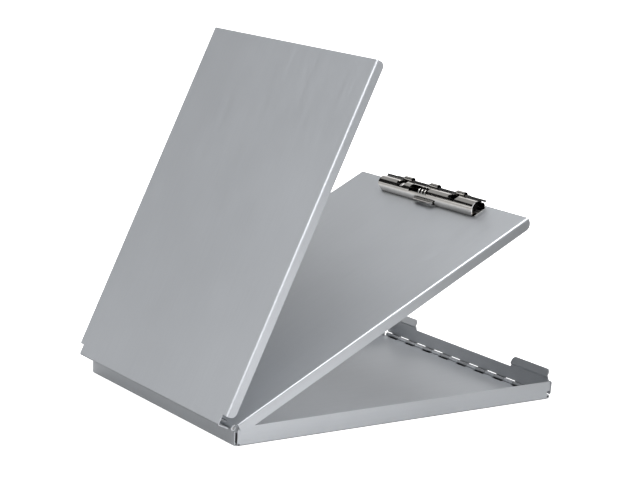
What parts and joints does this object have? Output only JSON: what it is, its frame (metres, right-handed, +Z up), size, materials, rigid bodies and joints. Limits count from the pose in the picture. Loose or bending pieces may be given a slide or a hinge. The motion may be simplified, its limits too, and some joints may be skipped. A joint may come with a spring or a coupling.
{
  "type": "sheet metal box clipboard",
  "caption": "Folded aluminium form holder: a shallow tray with a hinged writing plate carrying a spring clip, a hinged cover and a fold-down end latch with two tabs.",
  "frame": {"origin": "centre of the tray's flat underside", "axes": "+Z up, +X along the hinges to the right-hand side, +Y from the main hinge towards the latch"},
  "size_m": [0.247, 0.3283, 0.2948],
  "materials": {
    "sheet_aluminium": "satin mill finish",
    "latch_aluminium": "satin, a little darker",
    "hinge_steel": "drawn wire",
    "clip_nickel": "polished nickel plate",
    "clip_steel": "plated wire"
  },
  "bodies": {
    "tray_body": {"tray": "sheet_aluminium", "main_hinge_pin": "hinge_steel", "latch_hinge_pin": "hinge_steel"},
    "plate_body": {"writing_plate": "sheet_aluminium", "clip_base": "clip_nickel", "clip_rod": "clip_steel", "clip_rivets": "clip_steel", "clip_spring": "clip_nickel"},
    "cover_body": {"cover": "sheet_aluminium"},
    "latch_body": {"latch_flap": "latch_aluminium"},
    "jaw_body": {"clip_jaw": "clip_nickel"}
  },
  "joints": [
    {"name": "writing_plate_hinge", "type": "hinge", "parent": "tray_body", "child": "plate_body", "pos_m": [0, -0.15705, 0.0146], "axis": [1, 0, 0], "range_deg": [-27.3, 22.7]},
    {"name": "cover_hinge", "type": "hinge", "parent": "plate_body", "child": "cover_body", "pos_m": [0, -0.15705, 0.0146], "axis": [1, 0, 0], "range_deg": [-36.7, 67.3]},
    {"name": "latch_hinge", "type": "hinge", "parent": "tray_body", "child": "latch_body", "pos_m": [0, 0.1542, 0.0018], "axis": [-1, 0, 0], "range_deg": [-4, 78]},
    {"name": "clip_jaw_hinge", "type": "hinge", "parent": "plate_body", "child": "jaw_body", "pos_m": [0, 0.11277, 0.16489], "axis": [-1, 0, 0], "range_deg": [0, 22], "stiffness_Nm_per_rad": 0.6, "springref_deg": -17.19, "deforming": ["clip_spring"]}
  ]
}
